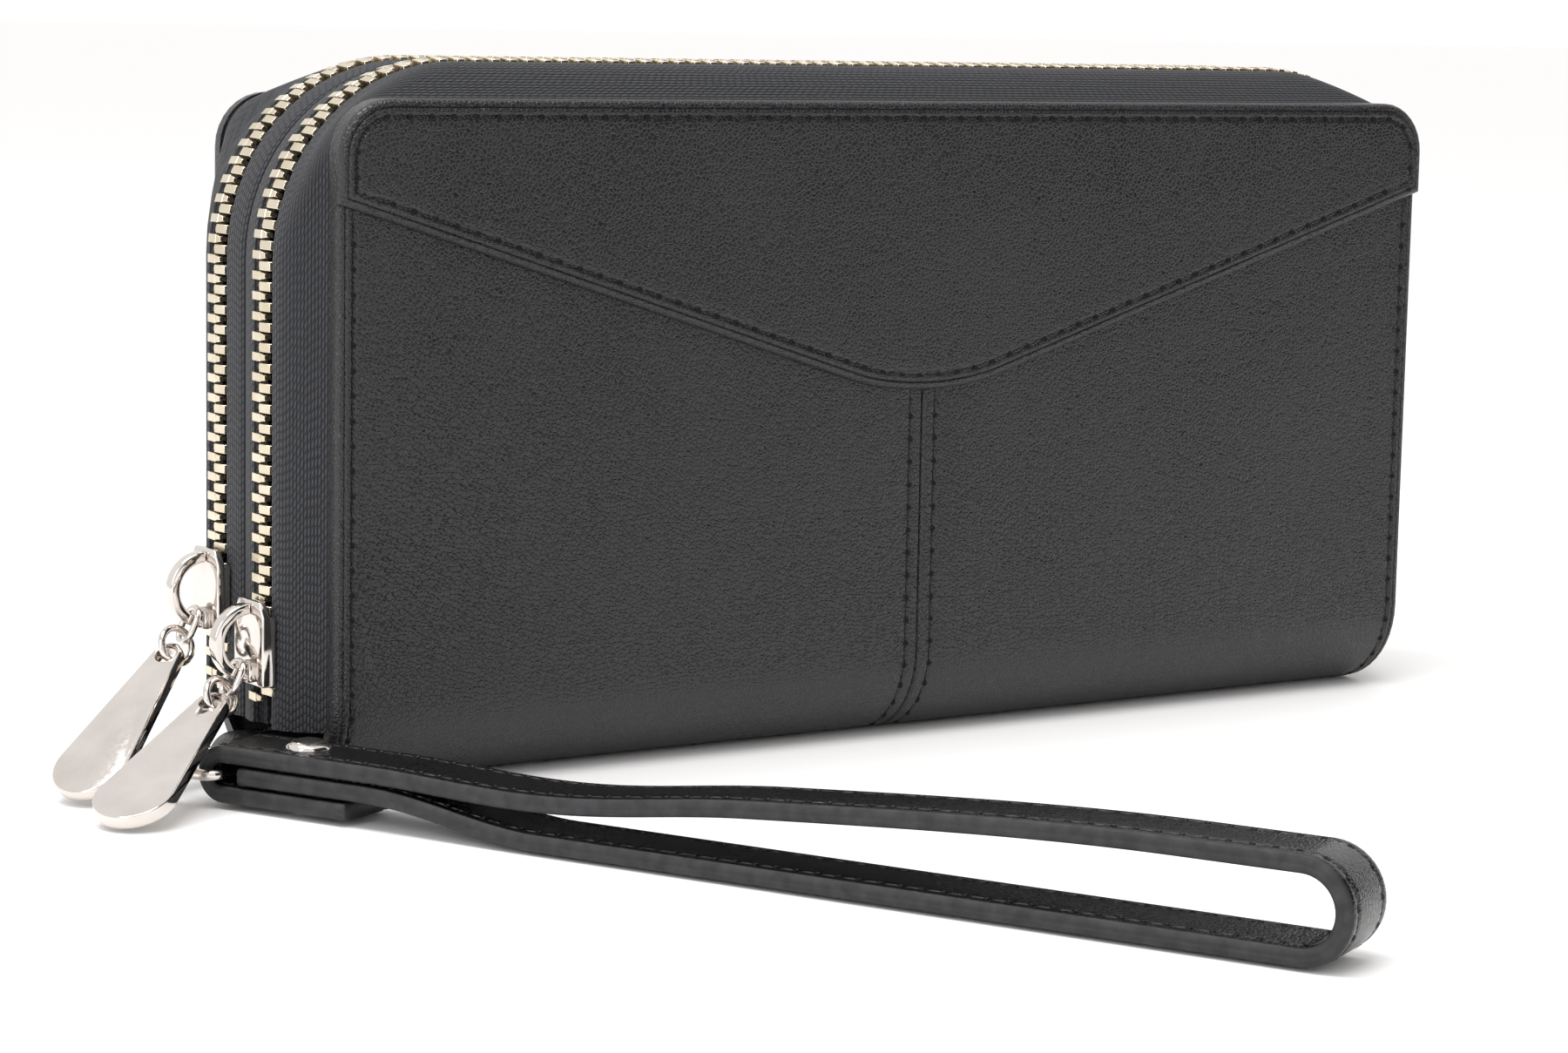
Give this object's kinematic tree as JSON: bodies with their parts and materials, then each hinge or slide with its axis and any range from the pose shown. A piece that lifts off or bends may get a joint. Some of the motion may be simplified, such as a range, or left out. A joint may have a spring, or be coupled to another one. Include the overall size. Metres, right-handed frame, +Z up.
{
  "type": "wristlet wallet",
  "caption": "Black leather wallet with two zip-around compartments, a pointed yoke on the front, metal zip pulls and a wrist strap.",
  "frame": {"origin": "middle of the flat base that the wallet stands on", "axes": "+X along the wallet's length, the front cover faces -Y, +Z up"},
  "size_m": [0.2421, 0.185, 0.1037],
  "materials": {
    "black_leather": "smooth, semi-gloss",
    "strap_leather": "glossy faces, matt painted edges",
    "lining": "fine woven lining",
    "zip_tape": "twill woven tape",
    "zip_teeth": "pale champagne plated",
    "nickel": "polished nickel",
    "board": "stiff fibre board"
  },
  "bodies": {
    "spine": {"base_wrap": "black_leather", "base_lining": "lining", "centre_divider": "lining", "front_left_gusset": "lining", "front_right_gusset": "lining", "rear_left_gusset": "lining", "rear_right_gusset": "lining", "front_inner_tape": "zip_tape", "front_inner_teeth": "zip_teeth", "rear_inner_tape": "zip_tape", "rear_inner_teeth": "zip_teeth", "zip_end_stops": "zip_teeth", "strap_anchor_tab": "black_leather"},
    "front_cover": {"front_left_panel": "black_leather", "front_right_panel": "black_leather", "front_yoke": "black_leather", "front_board": "board", "front_lining": "lining", "front_low_pocket": "lining", "front_middle_pocket": "lining", "front_high_pocket": "lining", "front_outer_tape": "zip_tape", "front_outer_teeth": "zip_teeth"},
    "rear_cover": {"rear_panel": "black_leather", "rear_board": "board", "rear_lining": "lining", "rear_low_pocket": "lining", "rear_middle_pocket": "lining", "rear_high_pocket": "lining", "rear_outer_tape": "zip_tape", "rear_outer_teeth": "zip_teeth"},
    "front_slider": {"front_slider_body": "nickel", "front_slider_bridge": "nickel"},
    "front_link": {"front_pull_link": "nickel"},
    "front_ring": {"front_pull_ring": "nickel"},
    "front_tag": {"front_pull_tag": "nickel"},
    "rear_slider": {"rear_slider_body": "nickel", "rear_slider_bridge": "nickel"},
    "rear_link": {"rear_pull_link": "nickel"},
    "rear_ring": {"rear_pull_ring": "nickel"},
    "rear_tag": {"rear_pull_tag": "nickel"},
    "anchor_ring": {"strap_ring": "nickel"},
    "strap": {"wrist_strap": "strap_leather", "strap_rivet_cap": "nickel", "strap_rivet_post": "nickel"}
  },
  "joints": [
    {"name": "front_cover_open", "type": "hinge", "parent": "spine", "child": "front_cover", "pos_m": [0, -0.02, 0.01415], "axis": [1, 0, 0], "range_deg": [0, 25], "deforming": ["front_outer_tape", "front_outer_teeth", "front_left_gusset", "front_right_gusset"]},
    {"name": "rear_cover_open", "type": "hinge", "parent": "spine", "child": "rear_cover", "pos_m": [0, 0.02, 0.01415], "axis": [-1, 0, 0], "range_deg": [0, 25], "deforming": ["rear_outer_tape", "rear_outer_teeth", "rear_left_gusset", "rear_right_gusset"]},
    {"name": "front_zip_slide", "type": "slide", "parent": "spine", "child": "front_slider", "axis": [0, 0, 1], "range_m": [0, 0.04], "deforming": ["front_inner_teeth", "front_outer_teeth"]},
    {"name": "front_link_swing", "type": "hinge", "parent": "front_slider", "child": "front_link", "pos_m": [-0.1074, -0.0073, 0.0215], "axis": [0, 1, 0], "range_deg": [0, 50]},
    {"name": "front_ring_swing", "type": "hinge", "parent": "front_link", "child": "front_ring", "pos_m": [-0.11089, -0.0073, 0.01402], "axis": [0, 1, 0], "range_deg": [0, 15]},
    {"name": "front_tag_swing", "type": "hinge", "parent": "front_ring", "child": "front_tag", "pos_m": [-0.11225, -0.00862, 0.01419], "axis": [-0.3587, 0.8512, -0.383], "range_deg": [-1, 25]},
    {"name": "rear_zip_slide", "type": "slide", "parent": "spine", "child": "rear_slider", "axis": [0, 0, 1], "range_m": [0, 0.04], "deforming": ["rear_inner_teeth", "rear_outer_teeth"]},
    {"name": "rear_link_swing", "type": "hinge", "parent": "rear_slider", "child": "rear_link", "pos_m": [-0.1074, 0.0073, 0.027], "axis": [0, 1, 0], "range_deg": [0, 50]},
    {"name": "rear_ring_swing", "type": "hinge", "parent": "rear_link", "child": "rear_ring", "pos_m": [-0.11089, 0.0073, 0.01952], "axis": [0, 1, 0], "range_deg": [0, 15]},
    {"name": "rear_tag_swing", "type": "hinge", "parent": "rear_ring", "child": "rear_tag", "pos_m": [-0.11212, 0.00625, 0.01926], "axis": [-0.238, 0.9091, -0.3419], "range_deg": [-1, 25]},
    {"name": "strap_ring_tilt", "type": "hinge", "parent": "spine", "child": "anchor_ring", "pos_m": [-0.10465, -0.01082, 0.0049], "axis": [-0.4478, 0.8942, 0], "range_deg": [0, 4]},
    {"name": "strap_lift", "type": "hinge", "parent": "anchor_ring", "child": "strap", "pos_m": [-0.111, -0.014, 0.0049], "axis": [-0.8942, -0.4478, 0], "range_deg": [0, 30]}
  ]
}
